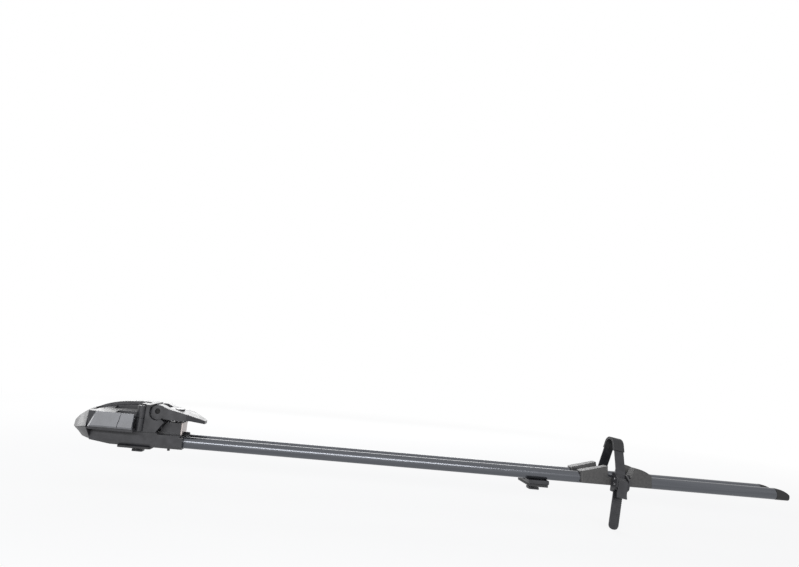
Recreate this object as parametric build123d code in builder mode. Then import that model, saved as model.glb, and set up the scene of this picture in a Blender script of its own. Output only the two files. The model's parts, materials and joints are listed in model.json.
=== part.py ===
from build123d import *
import os
from math import atan, atan2, cos, degrees, radians, sin

os.makedirs("parts", exist_ok=True)

# A fork-mount carrier for one bicycle. X runs rearwards along the rails, Z is up, and the
# left hand side, with the ratchet buckle, is at negative Y. The origin is the middle of the
# front foot pad's underside, where the head stands on the front cross bar. Millimetres.

# Overall lengths from the front foot
nose_reach = 124.0
tail_reach = 1270.0
rear_foot_x = 770.0
cradle_x = 923.0

# Allowances
body_gap = 0.3
running_gap = 0.06
seat_gap = 0.15
overrun = 2.0

# Rails
rail_width = 17.5
rail_height = 21.0
rail_corner = 7.6
rail_wall = 1.8
rail_spacing = 41.0
rail_start_x = -45.0
groove_height = 4.2
groove_depth = 4.6
groove_lift = 5.0
rear_chamber_width = 5.4
cap_length = 25.0
cap_plug_length = 8.0
cap_end_height = 11.0

# Foot and chassis of the head
pad_thickness = 4.0
pad_length = 62.0
pad_width = 70.0
pad_corner = 6.0
floor_thickness = 1.5
base_half_width = 38.0
base_rear_x = 89.0
base_top_z = 32.0
base_step_x = 38.0
base_step_run = 4.0
deck_z = 28.5
base_tail_length = 7.0
base_tail_drop = 3.5
base_edge = 6.0
base_front_rise = 6.0
channel_half_width = 9.5
channel_start_x = -34.0
channel_floor = 3.0
bay_wall = 4.0

rail_y = rail_spacing / 2
rail_bottom_z = pad_thickness + floor_thickness
rail_mid_z = rail_bottom_z + rail_height / 2
rail_top_z = rail_bottom_z + rail_height
rail_inner_y = rail_y - rail_width / 2
rail_outer_y = rail_y + rail_width / 2
rail_end_x = tail_reach - cap_length
groove_z = rail_bottom_z + groove_lift
hands = ((-1, "left"), (1, "right"))


def side_plane(y):
    """The upright plane along the rails at a given Y: local x is X, local y is Z."""
    return Plane.XZ.offset(-y)


def cross_plane(x):
    """The upright plane across the rails at a given X: local x is Y, local y is Z."""
    return Plane.YZ.offset(x)


def level_plane(z):
    """The level plane at a given height."""
    return Plane.XY.offset(z)


def save(builder, name):
    """Label a finished piece and write it to its own file."""
    builder.part.label = name
    export_step(builder.part, f"parts/{name}.step")
    print(f"{name}: {builder.part.volume / 1000:.1f} cm3")


def rail_ovals(grow, mode):
    """Both rails' outer outlines, grown by a clearance, on a cross plane."""
    for hand, _ in hands:
        with Locations((hand * rail_y, rail_mid_z)):
            RectangleRounded(rail_width + 2 * grow, rail_height + 2 * grow,
                             rail_corner + grow, mode=mode)


# Rails: an oval extrusion with a closed chamber above an inward-facing groove, in which
# the slide plates of the rear clamp and of the wheel cradle run.
groove_top_z = groove_z + groove_height / 2
chamber_bottom_z = groove_top_z + rail_wall
chamber_top_z = rail_top_z - rail_wall
chamber_height = chamber_top_z - chamber_bottom_z
chamber_width = rail_width - 2 * rail_wall
chamber_z = (chamber_bottom_z + chamber_top_z) / 2
chamber_corner = min(chamber_height, chamber_width) * 0.4
groove_mid_y = rail_inner_y + (groove_depth - overrun) / 2
lower_chamber_y = rail_outer_y - rail_wall - rear_chamber_width / 2
lower_chamber_height = groove_height + groove_lift - rail_wall * 2
lower_chamber_z = groove_top_z - lower_chamber_height / 2

for hand, hand_name in hands:
    with BuildPart() as rail:
        with BuildSketch(cross_plane(rail_start_x)):
            with Locations((hand * rail_y, rail_mid_z)):
                RectangleRounded(rail_width, rail_height, rail_corner)
            with Locations((hand * rail_y, chamber_z)):
                RectangleRounded(chamber_width, chamber_height, chamber_corner,
                                 mode=Mode.SUBTRACT)
            with Locations((hand * groove_mid_y, groove_z)):
                Rectangle(groove_depth + overrun, groove_height, mode=Mode.SUBTRACT)
            with Locations((hand * lower_chamber_y, lower_chamber_z)):
                RectangleRounded(rear_chamber_width, lower_chamber_height, rail_wall,
                                 mode=Mode.SUBTRACT)
        extrude(amount=rail_end_x - rail_start_x)
    save(rail, f"rail_{hand_name}")

    with BuildPart() as end_cap:
        with BuildSketch(cross_plane(rail_end_x)):
            with Locations((hand * rail_y, rail_mid_z)):
                RectangleRounded(rail_width, rail_height, rail_corner)
        extrude(amount=cap_length)
        # The top runs down in an arc to a blunt end.
        with BuildSketch(side_plane(hand * rail_y)):
            with BuildLine():
                cap_top = ThreePointArc(
                    (rail_end_x, rail_top_z),
                    (rail_end_x + cap_length * 0.6, rail_top_z - cap_end_height * 0.3),
                    (tail_reach, rail_bottom_z + cap_end_height))
                Polyline(cap_top @ 1, (tail_reach, rail_bottom_z),
                         (rail_end_x, rail_bottom_z), cap_top @ 0)
            make_face()
        extrude(amount=rail_width, both=True, mode=Mode.INTERSECT)
        with BuildSketch(cross_plane(rail_end_x)):
            with Locations((hand * rail_y, chamber_z)):
                RectangleRounded(chamber_width - 2 * seat_gap, chamber_height - 2 * seat_gap,
                                 chamber_corner - seat_gap)
        extrude(amount=-cap_plug_length)
    save(end_cap, f"end_cap_{hand_name}")

# Head outline: places along X, negative towards the nose, and heights along Z
seam_reach = 82.0
belly_lead = 13.0
crown_reach = 57.0
brow_reach = 26.0
tower_front_x = 4.0
ridge_tip_z = 25.0
nose_top_z = 41.0
ridge_seam_z = 34.0
nose_mid_top_z = 56.0
crown_seam_z = 68.0
crown_mid_z = 77.0
crown_brow_z = 81.8
crown_z = 83.5
nose_half_width = 12.0
nose_mid_half_width = 47.0
seam_half_width = 64.0
spine_half_width = 10.0
spine_drop = 5.0
shell_wall = 3.0
panel_thickness = 4.0
panel_flare = 3.0
panel_top_z = 64.5
panel_bottom_z = 37.0
panel_rear_x = 3.0
panel_lead = 10.0
panel_lead_inset = 6.0
panel_lead_lean = 13.0
panel_split_x = -22.5
panel_split_lean = 2.5
panel_split_width = 0.9
panel_split_depth = 0.8
flank_dip = 2.5

# Fork clamp in the head
axle_x = -11.0
axle_z = 51.0
axle_radius = 4.5
axle_bore = 2.5
dropout_inner_y = 50.0
dropout_thickness = 7.0
seat_length = 4.0
collar_radius = 8.0
collar_length = 4.0
jaw_radius = 9.0
jaw_thickness = 5.0
jaw_travel = 2.5
jaw_shell_gap = 2.5
draw_travel = 1.0
shell_half_width = dropout_inner_y + dropout_thickness + jaw_thickness + jaw_travel + jaw_shell_gap
slot_inner_y = dropout_inner_y - collar_length
slot_front_x = -33.0
slot_floor_z = 38.0
recess_inner_y = 14.0
recess_outer_y = 32.0
recess_front_x = -50.0
recess_floor_z = 58.0
gallery_half_width = 12.0
gallery_front_x = -25.0
gallery_top_z = 62.0

belly_reach = seam_reach + belly_lead
base_front_x = -seam_reach
base_front_z = pad_thickness + base_front_rise

# Chassis: a long moulded block that holds both rails and stands on the foot pad.
with BuildPart() as head_base:
    with BuildSketch(side_plane(0)):
        with BuildLine():
            Polyline((base_front_x, base_front_z), (rail_start_x, pad_thickness),
                     (base_rear_x, pad_thickness),
                     (base_rear_x, deck_z - base_tail_drop),
                     (base_rear_x - base_tail_length, deck_z - base_tail_drop),
                     (base_rear_x - base_tail_length, deck_z),
                     (base_step_x + base_step_run, deck_z),
                     (base_step_x, base_top_z), (base_front_x, base_top_z), close=True)
        make_face()
    extrude(amount=base_half_width, both=True)
    lower_edges = head_base.edges().filter_by(Axis.X).group_by(Axis.Z)[0]
    chamfer(lower_edges, length=base_edge)
    with BuildSketch(cross_plane(rail_start_x)):
        rail_ovals(seat_gap, Mode.ADD)
    extrude(amount=base_rear_x - rail_start_x + overrun, mode=Mode.SUBTRACT)
    # Channel between the rails for the foot's clamping wedge and its screw
    with BuildSketch(level_plane(pad_thickness + channel_floor)):
        with Locations(((channel_start_x + base_rear_x + overrun) / 2, 0)):
            Rectangle(base_rear_x + overrun - channel_start_x, 2 * channel_half_width)
    extrude(amount=base_top_z, mode=Mode.SUBTRACT)
    # Hollow bay in front of the rails
    with BuildSketch(level_plane(base_front_z + bay_wall)):
        with Locations(((base_front_x + rail_start_x) / 2, 0)):
            Rectangle(rail_start_x - base_front_x - 2 * bay_wall,
                      2 * (base_half_width - bay_wall))
    extrude(amount=base_top_z, mode=Mode.SUBTRACT)

# Foot clamp: screw, wedge, cross pin and T bolt
t_bolt_radius = 3.0
t_bolt_hole = 3.3
t_head_size = 20.0
t_head_thickness = 4.0
t_head_drop = 5.0
cross_pin_radius = 2.0
cross_pin_length = 15.0
wedge_slope = 0.25
wedge_travel = 6.0
wedge_front_x = -22.0
wedge_rear_x = 30.0
wedge_lug_length = 8.0
wedge_mid_height = 6.0
wedge_slot_half = 3.6
screw_z = 27.5
screw_radius = 3.0
screw_front_x = 18.0
knob_radius = 5.5
knob_length = 11.0
knob_flats_radius = 2.0
plate_thickness = 3.0

bolt_tip_radius = 2.5
bolt_tip_x = 62.0
bolt_tip_drop = 5.0
bolt_reach = 3.2

with head_base:
    with BuildSketch(level_plane(0)):
        Circle(t_bolt_hole)
        with Locations((bolt_tip_x, -rail_y), (bolt_tip_x, rail_y)):
            Circle(bolt_tip_radius + seat_gap)
    extrude(amount=rail_bottom_z + channel_floor, mode=Mode.SUBTRACT)
save(head_base, "head_base")

with BuildPart() as front_pad:
    with BuildSketch(level_plane(0)):
        RectangleRounded(pad_length, pad_width, pad_corner)
        Circle(t_bolt_hole + body_gap, mode=Mode.SUBTRACT)
    extrude(amount=pad_thickness)
save(front_pad, "front_pad")

wedge_floor_z = pad_thickness + channel_floor + body_gap
wedge_mid_z = wedge_floor_z + wedge_mid_height
cross_pin_z = wedge_mid_z + (cross_pin_radius + body_gap) / cos(atan(wedge_slope))
wedge_half_width = channel_half_width - 2 * body_gap
screw_lug_top = base_top_z - 2 * body_gap

with BuildPart() as front_t_bolt:
    with BuildSketch(level_plane(-t_head_drop)):
        Circle(t_bolt_radius)
    extrude(amount=cross_pin_z + cross_pin_radius * 2 + t_head_drop)
    with BuildSketch(level_plane(-t_head_drop)):
        RectangleRounded(t_head_size, t_head_size, t_bolt_radius)
    extrude(amount=-t_head_thickness)
    with BuildSketch(side_plane(0)):
        with Locations((0, cross_pin_z)):
            Circle(cross_pin_radius)
    extrude(amount=t_bolt_radius + overrun, both=True, mode=Mode.SUBTRACT)
save(front_t_bolt, "front_t_bolt")

with BuildPart() as clamp_cross_pin:
    with BuildSketch(side_plane(0)):
        with Locations((0, cross_pin_z)):
            Circle(cross_pin_radius)
    extrude(amount=cross_pin_length / 2, both=True)
save(clamp_cross_pin, "clamp_cross_pin")

with BuildPart() as clamp_wedge:
    with BuildSketch(side_plane(0)):
        with BuildLine():
            Polyline((wedge_front_x, wedge_floor_z),
                     (wedge_rear_x, wedge_floor_z),
                     (wedge_rear_x, screw_lug_top),
                     (wedge_rear_x - wedge_lug_length, screw_lug_top),
                     (wedge_rear_x - wedge_lug_length,
                      wedge_mid_z - wedge_slope * (wedge_rear_x - wedge_lug_length)),
                     (wedge_front_x, wedge_mid_z - wedge_slope * wedge_front_x), close=True)
        make_face()
    extrude(amount=wedge_half_width, both=True)
    with BuildSketch(level_plane(wedge_floor_z)):
        with Locations(((wedge_front_x - overrun) / 2 + wedge_travel / 2 + t_bolt_radius, 0)):
            Rectangle(wedge_travel + 2 * t_bolt_radius - wedge_front_x + overrun,
                      2 * wedge_slot_half)
    extrude(amount=base_top_z, mode=Mode.SUBTRACT)
    with BuildSketch(cross_plane(wedge_rear_x + overrun)):
        with Locations((0, screw_z)):
            Circle(screw_radius + running_gap)
    extrude(amount=-(wedge_lug_length + 2 * overrun), mode=Mode.SUBTRACT)
save(clamp_wedge, "clamp_wedge")

plate_rear_x = base_rear_x - base_tail_length
plate_front_x = plate_rear_x - plate_thickness

with BuildPart() as clamp_screw:
    with BuildSketch(cross_plane(screw_front_x)):
        with Locations((0, screw_z)):
            Circle(screw_radius)
    extrude(amount=plate_rear_x + body_gap - screw_front_x)
    with BuildSketch(cross_plane(plate_rear_x + body_gap)):
        with Locations((0, screw_z)):
            Circle(knob_radius)
            with PolarLocations(knob_radius + knob_flats_radius * 0.4, 6):
                Circle(knob_flats_radius, mode=Mode.SUBTRACT)
    extrude(amount=knob_length)
    with BuildSketch(cross_plane(plate_rear_x + body_gap + knob_length)):
        with Locations((0, screw_z)):
            RegularPolygon(screw_radius, 6)
    extrude(amount=-knob_length / 2, mode=Mode.SUBTRACT)
save(clamp_screw, "clamp_screw")

with BuildPart() as rail_bolts:
    with BuildSketch(level_plane(pad_thickness - bolt_tip_drop)):
        with Locations((bolt_tip_x, -rail_y), (bolt_tip_x, rail_y)):
            Circle(bolt_tip_radius)
    extrude(amount=bolt_tip_drop + floor_thickness - seat_gap)
save(rail_bolts, "rail_bolts")


def nose_section(inset, half_width, lower_share, low_z, ridge_z, top_z):
    """Half a dozen corners of the nose: belly, ridge, shoulder and crown, mirrored."""
    right = ((half_width * lower_share - inset, low_z + inset),
             (half_width - inset, ridge_z),
             (half_width * shoulder_share - inset,
              ridge_z + (top_z - ridge_z) * shoulder_height_share - inset),
             (spine_half_width * crown_width_share, top_z - inset))
    left = tuple((-y, z) for y, z in reversed(right))
    Polygon(*(right + left), align=None)


shoulder_share = 0.94
shoulder_height_share = 0.9
crown_width_share = 0.9
belly_share = 0.52
nose_wall = 3.0


def nose_loft(inset, depth, mode):
    """Loft the nose through its tip, belly and seam sections."""
    with BuildSketch(cross_plane(-nose_reach + depth)) as tip:
        nose_section(inset, nose_half_width, belly_share, ridge_tip_z - spine_drop / 2,
                     ridge_tip_z, nose_top_z)
    with BuildSketch(cross_plane(-belly_reach)) as belly:
        nose_section(inset, nose_mid_half_width, belly_share, base_front_z,
                     (ridge_tip_z + ridge_seam_z) / 2, nose_mid_top_z)
    with BuildSketch(cross_plane(-seam_reach)) as seam:
        nose_section(inset, seam_half_width, belly_share, base_front_z,
                     ridge_seam_z, crown_seam_z)
    loft(sections=[tip.sketch, belly.sketch, seam.sketch], ruled=True, mode=mode)


with BuildPart() as nose_cap:
    nose_loft(0, 0, Mode.ADD)
    nose_loft(nose_wall, 2 * nose_wall, Mode.SUBTRACT)
save(nose_cap, "nose_cap")

# Shell: a ridge along the middle with scooped flanks that fall to the side panels. Each
# fork leg drops through a slot beside its panel, and a recess by the ridge bares the axle.
flank_stations = (
    (-seam_reach, seam_half_width - panel_flare, crown_seam_z),
    (-seam_reach + panel_lead, shell_half_width, (crown_seam_z + crown_mid_z) / 2),
    (-crown_reach, shell_half_width, crown_mid_z),
    (-brow_reach, shell_half_width, crown_brow_z),
    (tower_front_x, shell_half_width, crown_z),
)
flank_sections = []
for station_x, half_width, crown_height in flank_stations:
    inner_z = max(crown_height - spine_drop, panel_top_z)
    mid_z = (inner_z + panel_top_z) / 2 - flank_dip * (inner_z - panel_top_z) / spine_drop / 2
    right_half = ((half_width, base_top_z), (half_width, panel_top_z),
                  ((half_width + spine_half_width) / 2, mid_z), (spine_half_width, inner_z))
    left_half = tuple((-y, z) for y, z in reversed(right_half))
    with BuildSketch(cross_plane(station_x)) as flank_section:
        Polygon(*(right_half + left_half), align=None)
    flank_sections.append(flank_section.sketch)

with BuildPart() as head_shell:
    loft(sections=flank_sections, ruled=True)
    # Ridge
    with BuildSketch(side_plane(0)):
        with BuildLine():
            ridge_curve = Spline((-seam_reach, crown_seam_z), (-crown_reach, crown_mid_z),
                                 (-brow_reach, crown_brow_z), (tower_front_x, crown_z))
            Polyline(ridge_curve @ 1, (tower_front_x, gallery_top_z),
                     (-crown_reach, gallery_top_z),
                     (-seam_reach, gallery_top_z), ridge_curve @ 0)
        make_face()
    extrude(amount=spine_half_width, both=True)
    # Hollow behind the nose
    with BuildSketch(level_plane(base_top_z)):
        with Locations(((-seam_reach + recess_front_x) / 2, 0)):
            Rectangle(recess_front_x + seam_reach - 2 * shell_wall,
                      2 * (seam_half_width - 3 * shell_wall))
    extrude(amount=panel_top_z - base_top_z - 2 * shell_wall, mode=Mode.SUBTRACT)
    # Recess on each side of the ridge, and the slot for each fork end
    with BuildSketch(level_plane(recess_floor_z)):
        for hand, _ in hands:
            with Locations(((recess_front_x + tower_front_x) / 2,
                            hand * (recess_inner_y + recess_outer_y) / 2)):
                RectangleRounded(tower_front_x - recess_front_x - 2 * shell_wall,
                                 recess_outer_y - recess_inner_y, shell_wall)
    extrude(amount=crown_z, mode=Mode.SUBTRACT)
    with BuildSketch(level_plane(slot_floor_z)):
        for hand, _ in hands:
            with Locations(((slot_front_x + tower_front_x + overrun) / 2,
                            hand * (slot_inner_y + shell_half_width + overrun) / 2)):
                Rectangle(tower_front_x + overrun - slot_front_x,
                          shell_half_width + overrun - slot_inner_y)
    extrude(amount=crown_z, mode=Mode.SUBTRACT)
    # Gallery for the draw block, with a chimney for the draw rod's foot
    with BuildSketch(level_plane(base_top_z)):
        with Locations(((gallery_front_x + tower_front_x + overrun) / 2, 0)):
            Rectangle(tower_front_x + overrun - gallery_front_x, 2 * gallery_half_width)
    extrude(amount=gallery_top_z - base_top_z, mode=Mode.SUBTRACT)
    with BuildSketch(side_plane(0)):
        with Locations((axle_x, axle_z)):
            Circle(axle_radius + running_gap)
    extrude(amount=slot_inner_y + overrun, both=True, mode=Mode.SUBTRACT)

for hand, hand_name in hands:
    with BuildPart() as side_panel:
        with BuildSketch(cross_plane(-seam_reach + seat_gap)):
            inner_y = hand * (shell_half_width + seat_gap)
            with BuildLine():
                Polyline((inner_y, panel_top_z),
                         (hand * (shell_half_width + panel_thickness), panel_top_z),
                         (hand * (shell_half_width + panel_thickness + panel_flare),
                          panel_bottom_z + panel_flare),
                         (hand * (shell_half_width + panel_thickness), panel_bottom_z),
                         (inner_y, panel_bottom_z), close=True)
            make_face()
        extrude(amount=panel_rear_x + seam_reach)
        # Bevelled leading edge that runs down to the nose
        with BuildSketch(level_plane(panel_bottom_z - overrun)):
            lead_x = -seam_reach - overrun
            outer_y = shell_half_width + panel_thickness + panel_flare + overrun
            lead_y = shell_half_width - panel_lead_inset
            with BuildLine():
                Polyline((lead_x, hand * lead_y), (-seam_reach + panel_lead, hand * outer_y),
                         (lead_x - panel_lead_lean, hand * outer_y),
                         (lead_x - panel_lead_lean, hand * lead_y), close=True)
            make_face()
        lead_height = panel_top_z - panel_bottom_z + 2 * overrun
        extrude(amount=Vector(panel_lead_lean, 0, lead_height).length,
                dir=(panel_lead_lean, 0, lead_height), mode=Mode.SUBTRACT)
        # Leaning groove where the panel's front and rear halves meet
        with BuildSketch(side_plane(hand * (outer_y - overrun))):
            high_x = panel_split_x + panel_split_lean
            low_x = panel_split_x - panel_split_lean
            with BuildLine():
                Polyline((high_x, panel_top_z + overrun),
                         (high_x + panel_split_width, panel_top_z + overrun),
                         (low_x + panel_split_width, panel_bottom_z - overrun),
                         (low_x, panel_bottom_z - overrun), close=True)
            make_face()
        extrude(amount=hand * (panel_flare + panel_split_depth), mode=Mode.SUBTRACT)
    save(side_panel, f"side_panel_{hand_name}")

# Cam lever: the hub is a round cam whose centre lies off the pivot, so that closing the
# lever draws the rod rearwards by draw_travel.
pivot_x = 35.0
pivot_z = 70.0
hub_radius = 13.5
hub_offset_x = 1.0
hub_offset_z = 2.0
hub_gap = 0.6
lever_reach = 86.0
lever_half_width = 36.0
lever_tip_half_width = 11.0
lever_taper_start = 54.0
lever_wall = 3.0
lever_gap_half = 12.8
lever_web_start = 17.0
trunnion_radius = 5.0
trunnion_recess = 3.0
lever_top_shares = ((0.16, 0.56), (0.35, 0.24), (0.53, 0.02), (0.77, -0.41), (1.0, -0.98))
lever_low_shares = ((1.0, -1.40), (0.71, -1.02), (0.49, -1.12), (0.14, -1.0))

hub_x = pivot_x + hub_offset_x
hub_z = pivot_z - hub_offset_z
hub_seat = hub_radius + hub_gap
lever_tip_x = pivot_x + lever_reach
lever_web_x = pivot_x + lever_web_start

# Tower behind the fork slots
tower_half_width = 44.0
tower_crest_x = 12.0
tower_shoulder_drop = 2.6
tower_toe_x = 38.0
tower_heel_x = 51.5
tower_heel_z = 52.0
seat_low_degrees = 305.0
seat_high_degrees = 172.0
post_radius = 7.5
post_x = 7.5
post_top_z = 79.0
post_root = 5.0
post_groove_z = 56.0
post_groove = 1.2
rod_radius = 2.5
rod_foot_length = 6.0
rod_foot_half = 4.0
block_plate = 3.0
block_half_height = 7.0
block_half_width = 11.4
block_web = 4.0
block_rear_x = 3.0
jaw_pin_radius = 1.5
jaw_pin_y = 5.5
jaw_pin_slack = 0.3
well_gap = 1.0
dial_front_x = 23.4
dial_thickness = 6.3
dial_radius = 12.0
dial_notches = 16
dial_notch_radius = 1.2

post_base_z = slot_floor_z - post_root
rod_foot_x = block_rear_x
rod_foot_top = pivot_z + rod_foot_half
well_half = rod_foot_half + well_gap
well_front_x = rod_foot_x - draw_travel - well_gap
well_rear_x = rod_foot_x + rod_foot_length + well_gap
well_top_z = rod_foot_top + well_gap

with head_shell:
    with BuildSketch(level_plane(base_top_z)):
        with Locations(((well_front_x + tower_front_x + overrun) / 2, 0)):
            Rectangle(tower_front_x + overrun - well_front_x, 2 * well_half)
    extrude(amount=well_top_z - base_top_z, mode=Mode.SUBTRACT)
    with BuildSketch(level_plane(post_base_z)):
        for hand, _ in hands:
            with Locations((post_x, hand * tower_half_width)):
                Circle(post_radius + seat_gap)
    extrude(amount=crown_z, mode=Mode.SUBTRACT)
save(head_shell, "head_shell")


def on_seat(angle):
    """A point on the cam seat's circle round the hub."""
    return (hub_x + hub_seat * cos(radians(angle)), hub_z + hub_seat * sin(radians(angle)))


with BuildPart() as clamp_tower:
    with BuildSketch(side_plane(0)):
        with BuildLine():
            seat_low = on_seat(seat_low_degrees)
            seat_high = on_seat(seat_high_degrees)
            ThreePointArc(seat_low, on_seat((seat_low_degrees + seat_high_degrees) / 2),
                          seat_high)
            Polyline(seat_high, (seat_high[0], crown_z - tower_shoulder_drop),
                     (tower_crest_x, crown_z), (tower_front_x, crown_z),
                     (tower_front_x, base_top_z), (tower_toe_x, base_top_z),
                     (tower_heel_x, tower_heel_z), seat_low)
        make_face()
    extrude(amount=tower_half_width, both=True)
    # The crown falls to each side of the ridge.
    for hand, _ in hands:
        with BuildSketch(cross_plane(tower_front_x - overrun)):
            with BuildLine():
                Polyline((hand * spine_half_width, crown_z + overrun),
                         (hand * spine_half_width, crown_z - tower_shoulder_drop / 2),
                         (hand * (tower_half_width + overrun), post_top_z + overrun),
                         (hand * (tower_half_width + overrun), crown_z + overrun),
                         close=True)
            make_face()
        extrude(amount=tower_heel_x, mode=Mode.SUBTRACT)
        with BuildSketch(level_plane(post_base_z)):
            with Locations((post_x, hand * tower_half_width)):
                Circle(post_radius + seat_gap)
        extrude(amount=crown_z, mode=Mode.SUBTRACT)
    # Well for the draw rod's foot, and the rod's hole through the cam seat
    with BuildSketch(level_plane(base_top_z)):
        with Locations(((tower_front_x - overrun + well_rear_x) / 2, 0)):
            Rectangle(well_rear_x - tower_front_x + overrun, 2 * well_half)
    extrude(amount=well_top_z - base_top_z, mode=Mode.SUBTRACT)
    with BuildSketch(cross_plane(tower_front_x)):
        with Locations((0, pivot_z)):
            Circle(rod_radius + 3 * body_gap)
    extrude(amount=hub_x - tower_front_x, mode=Mode.SUBTRACT)
    with BuildSketch(cross_plane(dial_front_x - draw_travel - body_gap)):
        with Locations((0, pivot_z)):
            Circle(dial_radius + 2 * body_gap)
    extrude(amount=hub_x + hub_seat - dial_front_x, mode=Mode.SUBTRACT)
save(clamp_tower, "clamp_tower")

for hand, hand_name in hands:
    # Post that the back of the fork end comes to rest against
    with BuildPart() as fork_post:
        with BuildSketch(level_plane(post_base_z)):
            with Locations((post_x, hand * tower_half_width)):
                Circle(post_radius)
        extrude(amount=post_top_z - post_base_z)
        chamfer(fork_post.faces().sort_by(Axis.Z)[-1].edges(), length=post_groove)
        with BuildSketch(level_plane(post_groove_z)):
            with Locations((post_x, hand * tower_half_width)):
                Circle(post_radius + overrun)
                Circle(post_radius - post_groove, mode=Mode.SUBTRACT)
        extrude(amount=post_groove, mode=Mode.SUBTRACT)
    save(fork_post, f"fork_post_{hand_name}")

    # Hollow half axle: collar, and the seat that the fork end's open slot drops onto
    with BuildPart() as half_axle:
        with BuildSketch(side_plane(0)):
            with Locations((axle_x, axle_z)):
                Circle(axle_radius)
        extrude(amount=-hand * (dropout_inner_y + seat_length))
        with BuildSketch(side_plane(hand * slot_inner_y)):
            with Locations((axle_x, axle_z)):
                Circle(collar_radius)
        extrude(amount=-hand * collar_length)
        with BuildSketch(side_plane(0)):
            with Locations((axle_x, axle_z)):
                Circle(collar_radius)
        extrude(amount=-hand * (gallery_half_width + body_gap), mode=Mode.SUBTRACT)
        with BuildSketch(side_plane(0)):
            with Locations((axle_x, axle_z)):
                Circle(axle_bore + running_gap)
        extrude(amount=-hand * (dropout_inner_y + seat_length + overrun), mode=Mode.SUBTRACT)
    save(half_axle, f"half_axle_{hand_name}")

    # Jaw: a serrated disc on a rod that runs in the half axle
    jaw_face_y = dropout_inner_y + dropout_thickness
    with BuildPart() as jaw:
        with BuildSketch(side_plane(hand * (jaw_pin_y - jaw_pin_radius))):
            with Locations((axle_x, axle_z)):
                Circle(axle_bore)
        extrude(amount=-hand * (jaw_face_y + jaw_thickness / 2 - jaw_pin_y + jaw_pin_radius))
        with BuildSketch(side_plane(hand * jaw_face_y)):
            with Locations((axle_x, axle_z)):
                Circle(jaw_radius)
        extrude(amount=-hand * jaw_thickness)
        outer_rim = jaw.faces().sort_by(Axis.Y)[-1 if hand > 0 else 0].edges()
        chamfer(outer_rim, length=jaw_thickness * 0.3)
        with BuildSketch(side_plane(hand * jaw_face_y)):
            with Locations((axle_x, axle_z)):
                with PolarLocations(jaw_radius * 0.75, 12):
                    Rectangle(jaw_radius * 0.6, jaw_radius * 0.13)
        extrude(amount=-hand * jaw_thickness * 0.16, mode=Mode.SUBTRACT)
        with BuildSketch(level_plane(axle_z - block_half_height + body_gap)):
            with Locations((axle_x, hand * jaw_pin_y)):
                Circle(jaw_pin_radius)
        extrude(amount=2 * (block_half_height - body_gap))
    save(jaw, f"jaw_{hand_name}")

# Draw block: two plates with slanted slots that pull both jaw pins inwards together
block_front_x = axle_x - jaw_pin_radius - block_web
slot_run = Vector(draw_travel, jaw_travel)
slot_width = 2 * (jaw_pin_radius + jaw_pin_slack)
with BuildPart() as draw_block:
    with BuildSketch(level_plane(axle_z - block_half_height)):
        with Locations(((block_front_x + block_rear_x) / 2, 0)):
            Rectangle(block_rear_x - block_front_x, 2 * block_half_width)
        for hand, _ in hands:
            with Locations((axle_x + draw_travel / 2, hand * (jaw_pin_y + jaw_travel / 2))):
                SlotCenterToCenter(slot_run.length, slot_width, mode=Mode.SUBTRACT,
                                   rotation=hand * degrees(atan2(jaw_travel, draw_travel)))
    extrude(amount=2 * block_half_height)
    with BuildSketch(side_plane(0)):
        with Locations(((block_front_x + block_rear_x - block_web - overrun) / 2, axle_z)):
            Rectangle(block_rear_x - block_web - block_front_x + overrun,
                      2 * (block_half_height - block_plate))
    extrude(amount=block_half_width + overrun, both=True, mode=Mode.SUBTRACT)
save(draw_block, "draw_block")

# Draw rod: a foot behind the block, rising to the threaded rod at pivot height
foot_corner = 1.4
neck_radius = 3.4
eye_length = 10.0
eye_half_width = 8.0
eye_half_height = 8.5
clip_radius = 4.8
clip_thickness = 1.4

dial_rear_x = dial_front_x + dial_thickness
eye_front_x = dial_rear_x + body_gap
eye_rear_x = eye_front_x + eye_length

with BuildPart() as draw_rod:
    with BuildSketch(side_plane(0)):
        foot_base_z = axle_z - block_half_height
        with Locations((rod_foot_x + rod_foot_length / 2, (foot_base_z + rod_foot_top) / 2)):
            RectangleRounded(rod_foot_length, rod_foot_top - foot_base_z, foot_corner)
    extrude(amount=rod_foot_half, both=True)
    with BuildSketch(cross_plane(rod_foot_x + rod_foot_length / 2)):
        with Locations((0, pivot_z)):
            Circle(rod_radius)
    extrude(amount=dial_rear_x + eye_length / 2 - rod_foot_x - rod_foot_length / 2)
save(draw_rod, "draw_rod")

# Adjuster dial: a notched nut whose neck turns in the swivel eye and is held by a clip
with BuildPart() as adjuster_dial:
    with BuildSketch(cross_plane(dial_front_x)):
        with Locations((0, pivot_z)):
            Circle(dial_radius)
            with PolarLocations(dial_radius, dial_notches):
                Circle(dial_notch_radius, mode=Mode.SUBTRACT)
    extrude(amount=dial_thickness)
    with BuildSketch(cross_plane(dial_rear_x)):
        with Locations((0, pivot_z)):
            Circle(neck_radius)
    extrude(amount=eye_length + 2 * body_gap + clip_thickness)
    with BuildSketch(cross_plane(eye_rear_x + body_gap)):
        with Locations((0, pivot_z)):
            Circle(clip_radius)
    extrude(amount=clip_thickness)
    with BuildSketch(cross_plane(dial_front_x)):
        with Locations((0, pivot_z)):
            Circle(rod_radius + running_gap)
    extrude(amount=dial_thickness + eye_length / 2 + body_gap, mode=Mode.SUBTRACT)
save(adjuster_dial, "adjuster_dial")

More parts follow.
